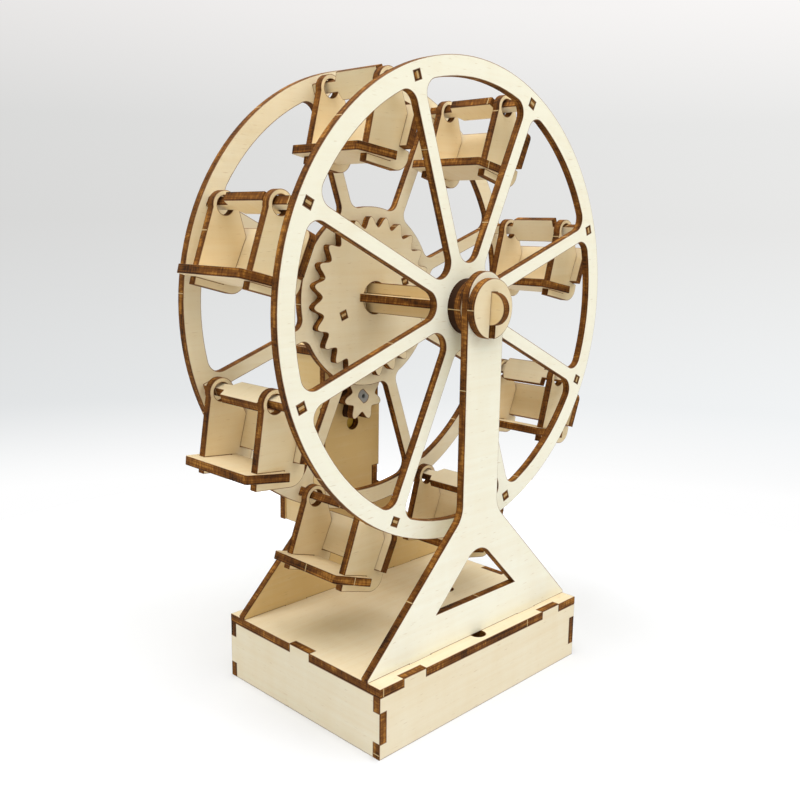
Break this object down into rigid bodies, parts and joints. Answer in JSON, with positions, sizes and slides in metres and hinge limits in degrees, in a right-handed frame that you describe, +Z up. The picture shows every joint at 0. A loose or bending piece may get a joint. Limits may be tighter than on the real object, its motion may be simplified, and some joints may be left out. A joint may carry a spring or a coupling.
{
  "type": "motorised ferris wheel kit",
  "caption": "Laser-cut plywood ferris wheel on a box base, turned by a geared motor behind the wheel, with gondolas hanging between two spoked wheels.",
  "frame": {"origin": "middle of the kit's whole extent, on the ground", "axes": "+Z up, -Y the side with the front support, +X to the right seen from there; the wheel turns about Y"},
  "size_m": [0.174, 0.1054, 0.2277],
  "materials": {
    "birch_ply": "bare laser-cut birch plywood with scorched edges",
    "gearbox_plastic": "satin moulded",
    "motor_steel": "plated",
    "shaft_plastic": "moulded",
    "case_plastic": "moulded",
    "cell_jacket": "printed jacket, left plain"
  },
  "bodies": {
    "stand": {"base_front_wall": "birch_ply", "base_rear_wall": "birch_ply", "base_left_wall": "birch_ply", "base_right_wall": "birch_ply", "base_top": "birch_ply", "front_support": "birch_ply", "rear_support": "birch_ply", "housing_left_wall": "birch_ply", "housing_right_wall": "birch_ply", "housing_top": "birch_ply", "housing_back": "birch_ply", "motor_gearbox": "gearbox_plastic", "motor_can": "motor_steel", "battery_case": "case_plastic", "battery_cover": "case_plastic", "battery_cells": "cell_jacket"},
    "wheel": {"front_wheel": "birch_ply", "rear_wheel": "birch_ply", "axle_upright_blade": "birch_ply", "axle_flat_blade": "birch_ply", "gear_pegs": "birch_ply", "inner_gear": "birch_ply", "outer_gear": "birch_ply", "hub_spacers": "birch_ply", "retaining_discs": "birch_ply", "pivot_bar_1": "birch_ply", "pivot_bar_2": "birch_ply", "pivot_bar_3": "birch_ply", "pivot_bar_4": "birch_ply", "pivot_bar_5": "birch_ply", "pivot_bar_6": "birch_ply", "pivot_bar_7": "birch_ply", "pivot_bar_8": "birch_ply"},
    "motor_drive": {"pinion_gear": "birch_ply", "motor_shaft": "shaft_plastic"},
    "switch": {"switch_slider": "case_plastic"},
    "gondola_1": {"gondola_1_sides": "birch_ply", "gondola_1_back": "birch_ply", "gondola_1_floor": "birch_ply"},
    "gondola_2": {"gondola_2_sides": "birch_ply", "gondola_2_back": "birch_ply", "gondola_2_floor": "birch_ply"},
    "gondola_3": {"gondola_3_sides": "birch_ply", "gondola_3_back": "birch_ply", "gondola_3_floor": "birch_ply"},
    "gondola_4": {"gondola_4_sides": "birch_ply", "gondola_4_back": "birch_ply", "gondola_4_floor": "birch_ply"},
    "gondola_5": {"gondola_5_sides": "birch_ply", "gondola_5_back": "birch_ply", "gondola_5_floor": "birch_ply"},
    "gondola_6": {"gondola_6_sides": "birch_ply", "gondola_6_back": "birch_ply", "gondola_6_floor": "birch_ply"},
    "gondola_7": {"gondola_7_sides": "birch_ply", "gondola_7_back": "birch_ply", "gondola_7_floor": "birch_ply"},
    "gondola_8": {"gondola_8_sides": "birch_ply", "gondola_8_back": "birch_ply", "gondola_8_floor": "birch_ply"}
  },
  "joints": [
    {"name": "wheel_spin", "type": "hinge", "parent": "stand", "child": "wheel", "pos_m": [0, -0.0087, 0.1444], "axis": [0, -1, 0], "continuous": true},
    {"name": "motor_spin", "type": "hinge", "parent": "stand", "child": "motor_drive", "pos_m": [0, -0.0087, 0.105], "axis": [0, -1, 0], "continuous": true},
    {"name": "switch_slide", "type": "slide", "parent": "stand", "child": "switch", "axis": [1, 0, 0], "range_m": [0, 0.003]},
    {"name": "gondola_1_swing", "type": "hinge", "parent": "wheel", "child": "gondola_1", "pos_m": [0.07433, -0.0087, 0.17086], "axis": [0, -1, 0], "continuous": true},
    {"name": "gondola_2_swing", "type": "hinge", "parent": "wheel", "child": "gondola_2", "pos_m": [0.03384, -0.0087, 0.21567], "axis": [0, -1, 0], "continuous": true},
    {"name": "gondola_3_swing", "type": "hinge", "parent": "wheel", "child": "gondola_3", "pos_m": [-0.02647, -0.0087, 0.21873], "axis": [0, -1, 0], "continuous": true},
    {"name": "gondola_4_swing", "type": "hinge", "parent": "wheel", "child": "gondola_4", "pos_m": [-0.07127, -0.0087, 0.17824], "axis": [0, -1, 0], "continuous": true},
    {"name": "gondola_5_swing", "type": "hinge", "parent": "wheel", "child": "gondola_5", "pos_m": [-0.07433, -0.0087, 0.11793], "axis": [0, -1, 0], "continuous": true},
    {"name": "gondola_6_swing", "type": "hinge", "parent": "wheel", "child": "gondola_6", "pos_m": [-0.03384, -0.0087, 0.07312], "axis": [0, -1, 0], "continuous": true},
    {"name": "gondola_7_swing", "type": "hinge", "parent": "wheel", "child": "gondola_7", "pos_m": [0.02647, -0.0087, 0.07007], "axis": [0, -1, 0], "continuous": true},
    {"name": "gondola_8_swing", "type": "hinge", "parent": "wheel", "child": "gondola_8", "pos_m": [0.07127, -0.0087, 0.11056], "axis": [0, -1, 0], "continuous": true}
  ],
  "couplings": [
    {"joint": "motor_spin", "follows": "wheel_spin", "ratio": -3.4286},
    {"joint": "gondola_1_swing", "follows": "wheel_spin", "ratio": -1},
    {"joint": "gondola_2_swing", "follows": "wheel_spin", "ratio": -1},
    {"joint": "gondola_3_swing", "follows": "wheel_spin", "ratio": -1},
    {"joint": "gondola_4_swing", "follows": "wheel_spin", "ratio": -1},
    {"joint": "gondola_5_swing", "follows": "wheel_spin", "ratio": -1},
    {"joint": "gondola_6_swing", "follows": "wheel_spin", "ratio": -1},
    {"joint": "gondola_7_swing", "follows": "wheel_spin", "ratio": -1},
    {"joint": "gondola_8_swing", "follows": "wheel_spin", "ratio": -1}
  ]
}
